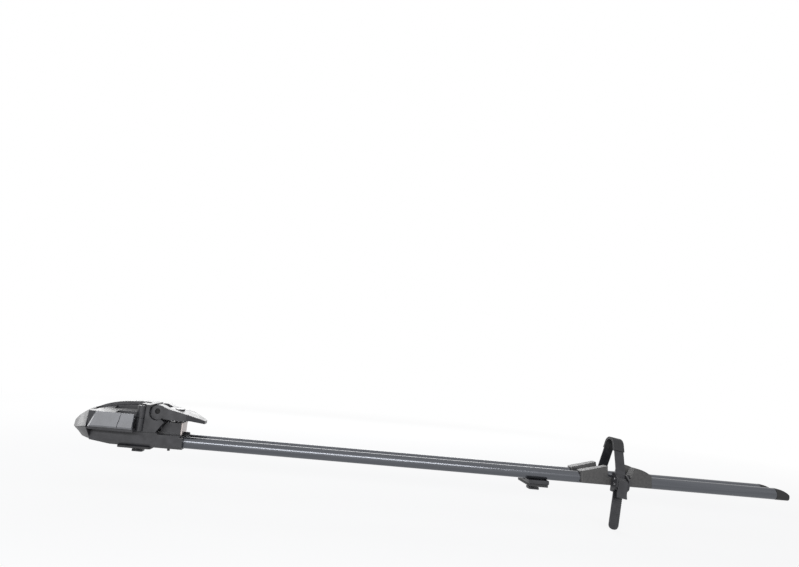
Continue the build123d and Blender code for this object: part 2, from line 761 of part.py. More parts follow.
# Swivel eye: the block between the lever's cheeks, with a trunnion on each side
with BuildPart() as swivel_eye:
    with BuildSketch(cross_plane(eye_front_x)):
        with Locations((0, pivot_z)):
            RectangleRounded(2 * eye_half_width, 2 * eye_half_height, neck_radius)
            Circle(neck_radius + running_gap, mode=Mode.SUBTRACT)
    extrude(amount=eye_length)
    for hand, _ in hands:
        with BuildSketch(side_plane(hand * (eye_half_width - body_gap))):
            with Locations((pivot_x, pivot_z)):
                Circle(trunnion_radius)
        extrude(amount=-hand * (lever_half_width - trunnion_recess - eye_half_width))
save(swivel_eye, "swivel_eye")


def lever_points(shares):
    """Points of the lever's side outline from shares of its reach and of its hub."""
    return [(pivot_x + along * lever_reach, pivot_z + up * hub_radius) for along, up in shares]


# Lock in the lever: a barrel whose tongue swings under the catch plate's lip
lock_x = 68.0
lock_radius = 7.0
lock_boss_radius = 9.5
lock_head_z = 74.6
lock_depth = 16.0
tongue_length = 10.0
tongue_width = 5.0
tongue_thickness = 3.0
tongue_z = 43.0
stem_radius = 3.0
keyway_length = 7.0
keyway_width = 1.6
keyway_depth = 4.0
hollow_drop_share = 1.3

tongue_top_z = tongue_z + tongue_thickness
lock_base_z = lock_head_z - lock_depth

# Cam lever: two cam cheeks that join in a broad handle with a thin, rounded tail
with BuildPart() as cam_lever:
    with BuildSketch(side_plane(0)):
        with BuildLine():
            top_points = lever_points(lever_top_shares)
            crest = (hub_x, hub_z + hub_radius)
            Spline(crest, *top_points, tangents=((1, 0), (1, -0.5)))
            Polyline(top_points[-1], *lever_points(lever_low_shares), (hub_x, hub_z), crest)
        make_face()
        with Locations((hub_x, hub_z)):
            Circle(hub_radius)
    extrude(amount=lever_half_width, both=True)
    # Seen from above: straight sides that taper to a narrow, square tail
    taper_x = pivot_x + lever_taper_start
    with BuildSketch(level_plane(0)) as lever_plan:
        with BuildLine():
            Polyline((taper_x, -lever_half_width), (lever_tip_x, -lever_tip_half_width),
                     (lever_tip_x, lever_tip_half_width), (taper_x, lever_half_width),
                     (hub_x - hub_seat, lever_half_width),
                     (hub_x - hub_seat, -lever_half_width), close=True)
        make_face()
        fillet(lever_plan.vertices().group_by(Axis.X)[-1], radius=lever_wall)
    extrude(amount=2 * crown_z, mode=Mode.INTERSECT)
    # Gap between the cam cheeks for the eye and the dial
    with BuildSketch(level_plane(0)):
        with Locations(((hub_x - hub_seat + lever_web_x) / 2, 0)):
            Rectangle(lever_web_x - hub_x + hub_seat, 2 * lever_gap_half)
    extrude(amount=2 * crown_z, mode=Mode.SUBTRACT)
    # Hollow underside of the handle, with the boss that holds the lock
    hollow_front_x = lever_web_x + lever_wall
    hollow_low_z = pivot_z - hub_radius * hollow_drop_share
    with BuildSketch(side_plane(0)):
        with BuildLine():
            hollow_top = [(x, z - lever_wall) for x, z in top_points[1:3]]
            Polyline((hollow_front_x, hollow_low_z),
                     (hollow_front_x, hollow_top[0][1] + lever_wall / 2), *hollow_top,
                     (hollow_top[1][0], hollow_low_z), close=True)
        make_face()
    extrude(amount=lever_half_width - lever_wall, both=True, mode=Mode.SUBTRACT)
    with BuildSketch(level_plane(lock_base_z)):
        with Locations((lock_x, 0)):
            Circle(lock_boss_radius)
    extrude(amount=lock_depth)
    with BuildSketch(level_plane(0)):
        with Locations((lock_x, 0)):
            Circle(lock_radius + running_gap)
    extrude(amount=2 * crown_z, mode=Mode.SUBTRACT)
    with BuildSketch(side_plane(0)):
        with Locations((pivot_x, pivot_z)):
            Circle(trunnion_radius + running_gap)
    extrude(amount=lever_half_width + overrun, both=True, mode=Mode.SUBTRACT)
save(cam_lever, "cam_lever")

with BuildPart() as lock_barrel:
    with BuildSketch(level_plane(tongue_top_z)):
        with Locations((lock_x, 0)):
            Circle(stem_radius)
    extrude(amount=lock_base_z - tongue_top_z)
    with BuildSketch(level_plane(lock_base_z)):
        with Locations((lock_x, 0)):
            Circle(lock_radius)
    extrude(amount=lock_depth)
    with BuildSketch(level_plane(tongue_z)):
        with Locations((lock_x, 0)):
            Circle(stem_radius)
        with Locations((lock_x, -tongue_length / 2)):
            RectangleRounded(tongue_width, tongue_length, tongue_width * 0.4)
    extrude(amount=tongue_thickness)
    with BuildSketch(level_plane(lock_head_z)):
        with Locations((lock_x, 0)):
            Rectangle(keyway_width, keyway_length)
    extrude(amount=-keyway_depth, mode=Mode.SUBTRACT)
save(lock_barrel, "lock_barrel")

# Latch block behind the tower: a ribbed deck with a pit for the lock's tongue
latch_half_width = 20.0
latch_top_z = 49.5
latch_mouth_z = 37.0
latch_rib_height = 1.6
latch_rib_length = 2.4
latch_rib_count = 5
pit_margin = 4.0
pit_floor_z = 38.0
plate_inset = 2.0
plate_rise = 1.0
lip_length = 4.0

latch_foot_x = base_step_x + base_step_run + seat_gap
latch_brow_x = tower_heel_x + seat_gap
pit_front_x = lock_x - stem_radius - pit_margin
pit_half_width = tongue_length + pit_margin
rib_width = latch_half_width - pit_half_width - overrun
rib_pitch = (plate_front_x - latch_brow_x - 2 * latch_rib_length) / (latch_rib_count - 1)

with BuildPart() as latch_block:
    with BuildSketch(side_plane(0)):
        with BuildLine():
            Polyline((latch_foot_x, deck_z), (plate_front_x, deck_z),
                     (plate_front_x, latch_top_z), (latch_brow_x, latch_top_z),
                     (latch_foot_x, latch_mouth_z), close=True)
        make_face()
    extrude(amount=latch_half_width, both=True)
    with BuildSketch(level_plane(latch_top_z - latch_rib_height)):
        for hand, _ in hands:
            with Locations(((latch_brow_x + plate_front_x) / 2,
                            hand * (pit_half_width + latch_half_width) / 2)):
                with GridLocations(rib_pitch, 0, latch_rib_count, 1):
                    Rectangle(latch_rib_length, rib_width)
    extrude(amount=2 * latch_rib_height)
    with BuildSketch(level_plane(pit_floor_z)):
        with Locations(((pit_front_x + plate_front_x + overrun) / 2, 0)):
            Rectangle(plate_front_x + overrun - pit_front_x, 2 * pit_half_width)
    extrude(amount=latch_top_z, mode=Mode.SUBTRACT)
    with BuildSketch(cross_plane(latch_foot_x - overrun)):
        with Locations((0, screw_z)):
            Circle(screw_radius + body_gap)
    extrude(amount=plate_front_x - latch_foot_x + 2 * overrun, mode=Mode.SUBTRACT)
save(latch_block, "latch_block")

# Steel catch plate at the back of the latch block, with the lip that the tongue goes under
with BuildPart() as catch_plate:
    with BuildSketch(cross_plane(plate_front_x)):
        with Locations((0, (deck_z + latch_top_z + plate_rise) / 2)):
            Rectangle(2 * (latch_half_width - plate_inset), latch_top_z + plate_rise - deck_z)
        with Locations((0, screw_z)):
            Circle(screw_radius + body_gap, mode=Mode.SUBTRACT)
    extrude(amount=plate_thickness)
    with BuildSketch(level_plane(tongue_top_z + body_gap)):
        with Locations((plate_front_x - lip_length / 2, 0)):
            Rectangle(lip_length, 2 * (tongue_width + overrun))
    extrude(amount=plate_thickness)
save(catch_plate, "catch_plate")

# Rear clamp: a bracket under both rails, drawn against a plate that runs in their grooves
slide_plate_thickness = 3.6
slide_plate_length = 36.0
spacer_length = 25.0
bracket_length = 40.0
bracket_half_width = 35.0
bracket_height = 7.5
bracket_relief = 3.0
bracket_edge = 1.4
plate_corner = 2.0
rear_pad_thickness = 4.7
rear_pad_inset = 1.5
nut_radius = 5.7
nut_height = 5.0
washer_radius = 6.5
washer_thickness = 1.2
bolt_end = 3.0

slide_plate_half_width = rail_inner_y + groove_depth - 2 * body_gap
bracket_top_z = rail_bottom_z - body_gap
bracket_bottom_z = bracket_top_z - bracket_height
rear_foot_z = bracket_bottom_z - rear_pad_thickness
slide_plate_z = groove_z - slide_plate_thickness / 2
slide_plate_top_z = groove_z + slide_plate_thickness / 2
nut_base_z = slide_plate_top_z + washer_thickness + body_gap

with BuildPart() as rear_bracket:
    with BuildSketch(level_plane(bracket_bottom_z)):
        with Locations((rear_foot_x, 0)):
            RectangleRounded(bracket_length, 2 * bracket_half_width, plate_corner)
    extrude(amount=bracket_height)
    chamfer(rear_bracket.faces().sort_by(Axis.Z)[0].edges(), length=bracket_edge)
    with BuildSketch(cross_plane(rear_foot_x - bracket_length)):
        with Locations((0, bracket_top_z)):
            Rectangle(2 * rail_inner_y, 2 * bracket_relief)
    extrude(amount=2 * bracket_length, mode=Mode.SUBTRACT)
    with BuildSketch(level_plane(bracket_bottom_z)):
        with Locations((rear_foot_x, 0)):
            Circle(t_bolt_hole)
    extrude(amount=bracket_height, mode=Mode.SUBTRACT)
save(rear_bracket, "rear_bracket")

with BuildPart() as rear_pad:
    with BuildSketch(level_plane(rear_foot_z)):
        with Locations((rear_foot_x, 0)):
            RectangleRounded(bracket_length - 2 * rear_pad_inset,
                             2 * (bracket_half_width - rear_pad_inset), plate_corner)
            Circle(t_bolt_hole + body_gap, mode=Mode.SUBTRACT)
    extrude(amount=rear_pad_thickness)
save(rear_pad, "rear_pad")

with BuildPart() as rear_slide_plate:
    with BuildSketch(level_plane(slide_plate_z)):
        with Locations((rear_foot_x, 0)):
            RectangleRounded(slide_plate_length, 2 * slide_plate_half_width, plate_corner)
    extrude(amount=slide_plate_thickness)
    # Spacer that stands on the bracket between the rails
    with BuildSketch(level_plane(bracket_top_z - bracket_relief)):
        with Locations((rear_foot_x, 0)):
            Rectangle(spacer_length, 2 * (rail_inner_y - 2 * body_gap))
    extrude(amount=slide_plate_z - bracket_top_z + bracket_relief)
    with BuildSketch(level_plane(bracket_bottom_z)):
        with Locations((rear_foot_x, 0)):
            Circle(t_bolt_hole)
    extrude(amount=slide_plate_top_z - bracket_bottom_z, mode=Mode.SUBTRACT)
save(rear_slide_plate, "rear_slide_plate")

with BuildPart() as rear_t_bolt:
    with BuildSketch(level_plane(rear_foot_z - t_head_drop)):
        with Locations((rear_foot_x, 0)):
            Circle(t_bolt_radius)
    extrude(amount=nut_base_z + nut_height + bolt_end - rear_foot_z + t_head_drop)
    with BuildSketch(level_plane(rear_foot_z - t_head_drop)):
        with Locations((rear_foot_x, 0)):
            RectangleRounded(t_head_size, t_head_size, t_bolt_radius)
    extrude(amount=-t_head_thickness)
save(rear_t_bolt, "rear_t_bolt")

with BuildPart() as rear_washer:
    with BuildSketch(level_plane(slide_plate_top_z)):
        with Locations((rear_foot_x, 0)):
            Circle(washer_radius)
            Circle(t_bolt_hole, mode=Mode.SUBTRACT)
    extrude(amount=washer_thickness)
save(rear_washer, "rear_washer")

with BuildPart() as rear_nut:
    with BuildSketch(level_plane(nut_base_z)):
        with Locations((rear_foot_x, 0)):
            RegularPolygon(nut_radius, 6)
            Circle(t_bolt_radius + running_gap, mode=Mode.SUBTRACT)
    extrude(amount=nut_height)
save(rear_nut, "rear_nut")

# Wheel cradle: two saddle blocks over the rails, joined by low skirts, with a V for the tyre
cradle_half_length = 71.0
cradle_front_gap = 18.0
cradle_rear_gap = 34.5
cradle_rear_gap_low = 27.5
cradle_half_width = 33.0
cradle_bottom_z = 8.0
cradle_end_z = 28.5
cradle_top_z = 42.0
cradle_corner = 5.0
skirt_top_z = 22.0
vee_half_top = 17.5
vee_half_low = 8.5
vee_floor_z = 17.5
liner_thickness = 1.8
liner_inset = 3.0
liner_top_z = 28.0
long_plate_inset = 2.0
cradle_screw_reach = 49.0
cradle_screw_radius = 2.5
cradle_screw_head = 4.4
cradle_screw_head_height = 2.4
crest_along_share = 0.45
crest_up_share = 0.72

cradle_end_x = cradle_x + cradle_half_length
cradle_front_x = cradle_x - cradle_half_length
cradle_brow_x = cradle_x + cradle_rear_gap
cradle_crest = (cradle_end_x + (cradle_brow_x - cradle_end_x) * crest_along_share,
                cradle_end_z + (cradle_top_z - cradle_end_z) * crest_up_share)
vee_slope = (vee_half_top - vee_half_low) / (cradle_top_z - vee_floor_z)
cradle_screw_places = ((cradle_x - cradle_screw_reach, 0), (cradle_x + cradle_screw_reach, 0))


def vee_half(z):
    """Half the width of the tyre's channel at a given height."""
    return vee_half_low + vee_slope * (z - vee_floor_z)


# Where the strap lies: its plane leans rearwards, and a spot there is set by how far it is
# across the strap and by how far it is up from the rails' top.
strap_lean = 8.5
strap_origin_x = 926.0
strap_width = 18.5
strap_thickness = 2.0
rivet_radius = 2.0
rivet_head_radius = 4.5
rivet_head_height = 2.0
rivet_up = -8.0
buckle_rivet_spread = 5.0
buckle_rivet_head_radius = 3.4
buckle_rivet_head = 0.8
skirt_grip = 3.0

strap_plane = Plane(origin=(strap_origin_x, 0, rail_top_z), x_dir=(0, 1, 0),
                    z_dir=(cos(radians(strap_lean)), 0, -sin(radians(strap_lean))))


def strap_spot(across, up):
    """X and Z of a spot on the strap's plane, as a place on a side plane."""
    lean = radians(strap_lean)
    return (strap_origin_x + across * cos(lean) + up * sin(lean),
            rail_top_z + up * cos(lean) - across * sin(lean))


strap_rivet_place = strap_spot(0, rivet_up)
buckle_rivet_places = (strap_spot(-buckle_rivet_spread, rivet_up),
                       strap_spot(buckle_rivet_spread, rivet_up))

with BuildPart() as cradle_body:
    with BuildSketch(side_plane(0)):
        with BuildLine():
            ThreePointArc((cradle_end_x, cradle_end_z), cradle_crest,
                          (cradle_brow_x, cradle_top_z))
            Polyline((cradle_brow_x, cradle_top_z), (cradle_x + cradle_rear_gap_low, skirt_top_z),
                     (cradle_x - cradle_front_gap, skirt_top_z),
                     (cradle_x - cradle_front_gap, cradle_top_z), (cradle_front_x, cradle_end_z),
                     (cradle_front_x, cradle_bottom_z), (cradle_end_x, cradle_bottom_z),
                     (cradle_end_x, cradle_end_z))
        make_face()
    extrude(amount=cradle_half_width, both=True)
    upright_edges = cradle_body.edges().filter_by(Axis.Z).group_by(Axis.X)
    fillet(upright_edges[0] + upright_edges[-1], radius=cradle_corner)
    with BuildSketch(cross_plane(cradle_x - cradle_half_length - overrun)):
        rail_ovals(body_gap, Mode.ADD)
        # Room between the rails for the slide plate
        with Locations((0, slide_plate_top_z - rail_height / 2)):
            Rectangle(2 * rail_y, rail_height)
        with BuildLine():
            Polyline((-vee_half_low, vee_floor_z), (vee_half_low, vee_floor_z),
                     (vee_half(cradle_top_z + overrun), cradle_top_z + overrun),
                     (-vee_half(cradle_top_z + overrun), cradle_top_z + overrun), close=True)
        make_face()
    extrude(amount=2 * (cradle_half_length + overrun), mode=Mode.SUBTRACT)
    # Between the two blocks the rails lie bare.
    with BuildSketch(level_plane(vee_floor_z)):
        with Locations((cradle_x + (cradle_rear_gap_low - cradle_front_gap) / 2, 0)):
            Rectangle(cradle_rear_gap_low + cradle_front_gap, 2 * (rail_outer_y - rail_wall))
    extrude(amount=cradle_top_z, mode=Mode.SUBTRACT)
    with BuildSketch(level_plane(slide_plate_z)):
        with Locations(*cradle_screw_places):
            Circle(cradle_screw_radius + seat_gap)
    extrude(amount=vee_floor_z, mode=Mode.SUBTRACT)
    with BuildSketch(level_plane(vee_floor_z - cradle_screw_head_height)):
        with Locations(*cradle_screw_places):
            Circle(cradle_screw_head + seat_gap)
    extrude(amount=vee_floor_z, mode=Mode.SUBTRACT)
    with BuildSketch(side_plane(cradle_half_width)):
        with Locations(strap_rivet_place):
            Circle(rivet_radius + running_gap)
    extrude(amount=cradle_half_width - rail_outer_y, mode=Mode.SUBTRACT)
    with BuildSketch(side_plane(-cradle_half_width)):
        with Locations(*buckle_rivet_places):
            Circle(rivet_radius + running_gap)
    extrude(amount=rail_outer_y - cradle_half_width, mode=Mode.SUBTRACT)
save(cradle_body, "cradle_body")

for facing, inner_gap, where in ((-1, cradle_front_gap, "front"), (1, cradle_rear_gap, "rear")):
    with BuildPart() as tyre_liner:
        with BuildSketch(cross_plane(cradle_x + facing * (inner_gap + liner_inset))):
            liner_floor_z = vee_floor_z + liner_thickness
            with BuildLine():
                Polyline((-vee_half(liner_top_z), liner_top_z), (-vee_half_low, vee_floor_z),
                         (vee_half_low, vee_floor_z), (vee_half(liner_top_z), liner_top_z),
                         (vee_half(liner_top_z) - liner_thickness, liner_top_z),
                         (vee_half_low - liner_thickness, liner_floor_z),
                         (liner_thickness - vee_half_low, liner_floor_z),
                         (liner_thickness - vee_half(liner_top_z), liner_top_z), close=True)
            make_face()
        extrude(amount=facing * (cradle_half_length - inner_gap - 2 * liner_inset))
    save(tyre_liner, f"tyre_liner_{where}")

with BuildPart() as cradle_slide_plate:
    with BuildSketch(level_plane(slide_plate_z)):
        with Locations((cradle_x, 0)):
            RectangleRounded(2 * (cradle_half_length - long_plate_inset),
                             2 * slide_plate_half_width, plate_corner)
        with Locations(*cradle_screw_places):
            Circle(cradle_screw_radius + running_gap, mode=Mode.SUBTRACT)
    extrude(amount=slide_plate_thickness)
save(cradle_slide_plate, "cradle_slide_plate")

with BuildPart() as cradle_screws:
    with BuildSketch(level_plane(slide_plate_z)):
        with Locations(*cradle_screw_places):
            Circle(cradle_screw_radius)
    extrude(amount=vee_floor_z - seat_gap - slide_plate_z)
    with BuildSketch(level_plane(vee_floor_z - cradle_screw_head_height)):
        with Locations(*cradle_screw_places):
            Circle(cradle_screw_head)
    extrude(amount=cradle_screw_head_height - seat_gap)
save(cradle_screws, "cradle_screws")

# Strap: from the far skirt it loops over the rim, runs down through the buckle and hangs.
strap_tooth_height = 1.2
strap_tooth_pitch = 3.4
strap_tooth_share = 0.85
strap_end_radius = 8.0
loop_half_width = 12.0
loop_top = 65.0
loop_corner = 16.0
bend_radius = 15.0
knee = 6.0
tail_drop = 97.5
anchor_drop = 15.0
sleeve_width = 21.0
sleeve_wall = 1.3
sleeve_low = 44.0
strap_gap = 0.25
buckle_back = 3.5
strap_clear = 1.6

far_y = cradle_half_width + strap_thickness / 2
near_y = cradle_half_width + buckle_back + strap_clear + strap_thickness / 2
near_face_y = near_y + strap_thickness / 2
tooth_tip_y = near_face_y + strap_tooth_height
strap_route = ((far_y, -anchor_drop), (far_y, knee), (loop_half_width, loop_top),
               (-loop_half_width, loop_top), (-near_y, knee), (-near_y, -tail_drop))
strap_radii = (bend_radius, loop_corner, loop_corner, bend_radius)
teeth_low = -tail_drop + strap_end_radius
tooth_count = int(-teeth_low / strap_tooth_pitch)

with BuildPart() as ratchet_strap:
    with BuildSketch(strap_plane):
        with BuildLine():
            FilletPolyline(*strap_route, radius=strap_radii)
        trace(line_width=strap_thickness)
    extrude(amount=strap_width / 2, both=True)
    fillet(ratchet_strap.edges().filter_by(Axis.Y).sort_by(Axis.Z)[:2], radius=strap_end_radius)
    # Saw teeth down the outer face of the near leg
    with BuildSketch(strap_plane):
        for tooth in range(tooth_count):
            tooth_up = teeth_low + tooth * strap_tooth_pitch
            with BuildLine():
                Polyline((-near_y, tooth_up), (-tooth_tip_y, tooth_up),
                         (-near_face_y, tooth_up + strap_tooth_pitch * strap_tooth_share),
                         (-near_y, tooth_up + strap_tooth_pitch * strap_tooth_share),
                         close=True)
            make_face()
    extrude(amount=strap_width / 2, both=True)
    with BuildSketch(side_plane(far_y - strap_thickness)):
        with Locations(strap_rivet_place):
            Circle(rivet_radius + running_gap)
    extrude(amount=-2 * strap_thickness, mode=Mode.SUBTRACT)
save(ratchet_strap, "ratchet_strap")

with BuildPart() as strap_rivet:
    with BuildSketch(side_plane(cradle_half_width + strap_thickness)):
        with Locations(strap_rivet_place):
            Circle(rivet_radius)
    extrude(amount=strap_thickness + skirt_grip)
    with BuildSketch(side_plane(cradle_half_width + strap_thickness)):
        with Locations(strap_rivet_place):
            Circle(rivet_head_radius)
    extrude(amount=-rivet_head_height)
    chamfer(strap_rivet.faces().sort_by(Axis.Y)[-1].edges(), length=rivet_head_height / 2)
save(strap_rivet, "strap_rivet")

# Soft sleeve that keeps the strap off the rim
sleeve_rise = (loop_top - sleeve_low) / (loop_top - knee)
sleeve_route = ((loop_half_width + (far_y - loop_half_width) * sleeve_rise, sleeve_low),
                (loop_half_width, loop_top), (-loop_half_width, loop_top),
                (-loop_half_width - (near_y - loop_half_width) * sleeve_rise, sleeve_low))
with BuildPart() as rim_sleeve:
    with BuildSketch(strap_plane):
        with BuildLine():
            FilletPolyline(*sleeve_route, radius=loop_corner)
        trace(line_width=strap_thickness + 2 * (strap_gap + sleeve_wall))
    extrude(amount=sleeve_width / 2, both=True)
    with BuildSketch(strap_plane):
        with BuildLine():
            FilletPolyline(*strap_route, radius=strap_radii)
        trace(line_width=strap_thickness + 2 * strap_gap)
    extrude(amount=strap_width / 2 + strap_gap, both=True, mode=Mode.SUBTRACT)
save(rim_sleeve, "rim_sleeve")

# Buckle on the near skirt: a channel that the strap runs down, a thumb lever and a pawl
buckle_cheek = 3.0
buckle_top = 4.0
buckle_low = -31.0
buckle_brow = -4.0
buckle_chin = -20.0
buckle_depth = 22.0
buckle_flank = 8.0
buckle_corner = 2.5
buckle_side_gap = 0.6
buckle_pin_radius = 2.2
buckle_pin_end = 1.1
thumb_pin_up = -6.5
thumb_barrel = 4.0
pawl_pin_up = -16.0
pawl_barrel = 3.4
thumb_thickness = 3.0
thumb_inset = 2.5
thumb_low = -30.0
thumb_lip_out = 3.0
thumb_lip_drop = 7.5
thumb_bend = 4.0
pawl_thickness = 2.4
pawl_nose_rise = 2.4
pawl_nose_clear = 0.8
pawl_tab_out = 2.0
pawl_tab_drop = 10.0
pawl_pin_out = 1.8

buckle_half = strap_width / 2 + buckle_side_gap
buckle_back_y = cradle_half_width + buckle_back
buckle_front_y = cradle_half_width + buckle_depth
thumb_pin_y = tooth_tip_y + thumb_barrel + body_gap
pawl_pin_y = thumb_pin_y + pawl_pin_out
buckle_pin_places = ((-thumb_pin_y, thumb_pin_up), (-pawl_pin_y, pawl_pin_up))
buckle_outline = ((-cradle_half_width, buckle_top),
                  (-cradle_half_width - buckle_flank, buckle_top),
                  (-buckle_front_y, buckle_brow), (-buckle_front_y, buckle_chin),
                  (-cradle_half_width - buckle_flank, buckle_low),
                  (-cradle_half_width, buckle_low))

with BuildPart() as buckle_frame:
    with BuildSketch(strap_plane) as buckle_side:
        Polygon(*buckle_outline, align=None)
        front_corners = buckle_side.vertices().sort_by(Axis.Y)[:4]
        fillet(front_corners, radius=buckle_corner)
        with Locations(*buckle_pin_places):
            Circle(buckle_pin_radius + seat_gap, mode=Mode.SUBTRACT)
    extrude(amount=buckle_half + buckle_cheek, both=True)
    with BuildSketch(strap_plane):
        with Locations((-buckle_back_y - buckle_depth / 2, (buckle_top + buckle_low) / 2)):
            Rectangle(buckle_depth, buckle_top - buckle_low + 2 * overrun)
    extrude(amount=buckle_half, both=True, mode=Mode.SUBTRACT)
    with BuildSketch(side_plane(-cradle_half_width)):
        with Locations(*buckle_rivet_places):
            Circle(rivet_radius + running_gap)
    extrude(amount=buckle_back + overrun, mode=Mode.SUBTRACT)
save(buckle_frame, "buckle_frame")

with BuildPart() as buckle_rivets:
    with BuildSketch(side_plane(-buckle_back_y)):
        with Locations(*buckle_rivet_places):
            Circle(rivet_radius)
    extrude(amount=-(buckle_back + skirt_grip))
    with BuildSketch(side_plane(-buckle_back_y)):
        with Locations(*buckle_rivet_places):
            Circle(buckle_rivet_head_radius)
    extrude(amount=buckle_rivet_head)
save(buckle_rivets, "buckle_rivets")

with BuildPart() as buckle_pins:
    with BuildSketch(strap_plane):
        with Locations(*buckle_pin_places):
            Circle(buckle_pin_radius)
    extrude(amount=buckle_half + buckle_cheek + buckle_pin_end, both=True)
save(buckle_pins, "buckle_pins")

thumb_y = buckle_front_y - thumb_inset + thumb_thickness / 2
thumb_half = buckle_half - 2 * body_gap
with BuildPart() as thumb_lever:
    with BuildSketch(strap_plane):
        with BuildLine():
            FilletPolyline((-thumb_pin_y, thumb_pin_up), (-thumb_y, thumb_pin_up),
                           (-thumb_y, thumb_low),
                           (-thumb_y - thumb_lip_out, thumb_low - thumb_lip_drop),
                           radius=thumb_bend)
        trace(line_width=thumb_thickness)
        with Locations((-thumb_pin_y, thumb_pin_up)):
            Circle(thumb_barrel)
            Circle(buckle_pin_radius + running_gap, mode=Mode.SUBTRACT)
    extrude(amount=thumb_half, both=True)
save(thumb_lever, "thumb_lever")

with BuildPart() as release_pawl:
    with BuildSketch(strap_plane):
        with BuildLine():
            Polyline((-tooth_tip_y - pawl_nose_clear, pawl_pin_up + pawl_nose_rise),
                     (-pawl_pin_y, pawl_pin_up),
                     (-pawl_pin_y - pawl_tab_out, pawl_pin_up - pawl_tab_drop))
        trace(line_width=pawl_thickness)
        with Locations((-pawl_pin_y, pawl_pin_up)):
            Circle(pawl_barrel)
            Circle(buckle_pin_radius + running_gap, mode=Mode.SUBTRACT)
    extrude(amount=thumb_half, both=True)
save(release_pawl, "release_pawl")
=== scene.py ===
# %% [markdown]
# # A roof mounted bike carrier
#
# This lesson dresses a imported CAD model of a fork mount carrier. The carrier has a moulded
# clamp head at the front, two dark oval rails, a sliding clamp for the rear cross bar, and a
# wheel cradle with a ratchet strap. The CAD model says where every piece is and how it
# moves. This file says how every piece looks: its softened edges, its plastic or metal, the
# light, and the camera.
#
# The size of the whole model is kept now. It is printed here, and the floor is placed just
# under it.

import json
from math import asin, copysign, cos, pi, radians, sin

import bmesh
import bpy
from mathutils import Matrix, Vector

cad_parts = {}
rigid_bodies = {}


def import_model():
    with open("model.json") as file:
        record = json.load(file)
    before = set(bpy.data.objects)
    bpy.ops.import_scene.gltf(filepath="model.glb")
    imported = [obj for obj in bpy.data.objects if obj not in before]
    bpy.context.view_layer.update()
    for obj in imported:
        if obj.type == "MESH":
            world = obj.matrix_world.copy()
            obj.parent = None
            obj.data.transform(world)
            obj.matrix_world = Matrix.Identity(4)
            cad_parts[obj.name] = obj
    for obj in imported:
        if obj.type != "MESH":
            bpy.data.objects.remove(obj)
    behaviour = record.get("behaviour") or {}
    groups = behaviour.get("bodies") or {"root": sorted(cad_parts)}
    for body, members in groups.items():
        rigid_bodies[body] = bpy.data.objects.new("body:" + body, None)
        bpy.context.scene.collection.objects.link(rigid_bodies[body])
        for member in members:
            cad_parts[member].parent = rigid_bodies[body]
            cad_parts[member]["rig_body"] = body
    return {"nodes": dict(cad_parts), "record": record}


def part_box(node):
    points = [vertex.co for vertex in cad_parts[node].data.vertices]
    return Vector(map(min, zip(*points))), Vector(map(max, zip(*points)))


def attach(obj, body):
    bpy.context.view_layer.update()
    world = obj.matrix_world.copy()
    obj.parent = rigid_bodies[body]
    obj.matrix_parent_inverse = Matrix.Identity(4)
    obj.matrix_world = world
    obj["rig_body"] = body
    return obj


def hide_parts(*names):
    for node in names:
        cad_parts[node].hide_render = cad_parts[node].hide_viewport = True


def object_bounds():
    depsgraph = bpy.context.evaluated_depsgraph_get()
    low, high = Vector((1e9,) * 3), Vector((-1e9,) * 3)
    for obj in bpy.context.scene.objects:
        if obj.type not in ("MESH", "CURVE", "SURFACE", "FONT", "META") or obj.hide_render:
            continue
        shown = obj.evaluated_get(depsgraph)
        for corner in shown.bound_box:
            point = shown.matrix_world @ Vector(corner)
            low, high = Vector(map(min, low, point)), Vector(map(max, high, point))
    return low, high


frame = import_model()
cad_low, cad_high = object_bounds()
mm = 0.001
print("CAD box in mm:", [round(v / mm, 1) for v in (*cad_low, *cad_high)])

# %% [markdown]
# ## The camera
#
# The camera stands on the carrier's left, level with its front third, a little above the
# head, and is tilted up. The lens length, the place and the three small angles were worked
# out from points that are easy to find on a real carrier: the nose, the pad, the rails' ends
# and the cradle. The shift stands for the crop of the picture.

# %% Camera
image_width = 799
sensor_width = 36.0
focal_pixels = 570.87
shift_pixels_x = 41.85
shift_pixels_y = -35.52
camera_place = Vector((341.97, -1173.02, 183.89)) * mm
pan_angle, tilt_angle, roll_angle = -0.0559, 0.2017, -0.1017

camera_data = bpy.data.cameras.new("camera")
camera_data.sensor_width = sensor_width
camera_data.lens = focal_pixels / image_width * sensor_width
camera_data.shift_x = shift_pixels_x / image_width
camera_data.shift_y = shift_pixels_y / image_width
camera = bpy.data.objects.new("camera", camera_data)
bpy.context.scene.collection.objects.link(camera)
level_view = Matrix.Rotation(radians(90), 4, "X")
pan = Matrix.Rotation(pan_angle, 4, "Z")
tilt = Matrix.Rotation(tilt_angle, 4, "X")
roll = Matrix.Rotation(roll_angle, 4, "Y")
stand = Matrix.Translation(camera_place)
camera.matrix_world = stand @ roll @ tilt @ pan @ level_view
bpy.context.scene.camera = camera
print("lens", round(camera_data.lens, 2), "mm")

# %% [markdown]
# ## Light and floor
#
# The carrier is black plastic and dark metal, so its shape shows only where it mirrors
# something pale. Camera, mirror and glass rays therefore see a plain white world, while all
# other rays see a dim, slightly blue room, so that the shaded sides stay dark. Three lamps
# add the highlights. A long thin strip on the near side draws one line of light along the
# rails, a wide lamp on the far side gives the top faces their sheen, and a small one beyond
# the nose lights the faces that look forwards.

# %% World
scene = bpy.context.scene
scene.view_settings.view_transform = "Standard"


def seen_directly(tree):
    """A value that is 1 for camera, mirror and glass rays, and 0 for the others."""
    path = tree.nodes.new("ShaderNodeLightPath")
    seen = path.outputs["Is Camera Ray"]
    for other in ("Is Glossy Ray", "Is Transmission Ray"):
        either = tree.nodes.new("ShaderNodeMath")
        either.operation = "MAXIMUM"
        tree.links.new(seen, either.inputs[0])
        tree.links.new(path.outputs[other], either.inputs[1])
        seen = either.outputs[0]
    return seen


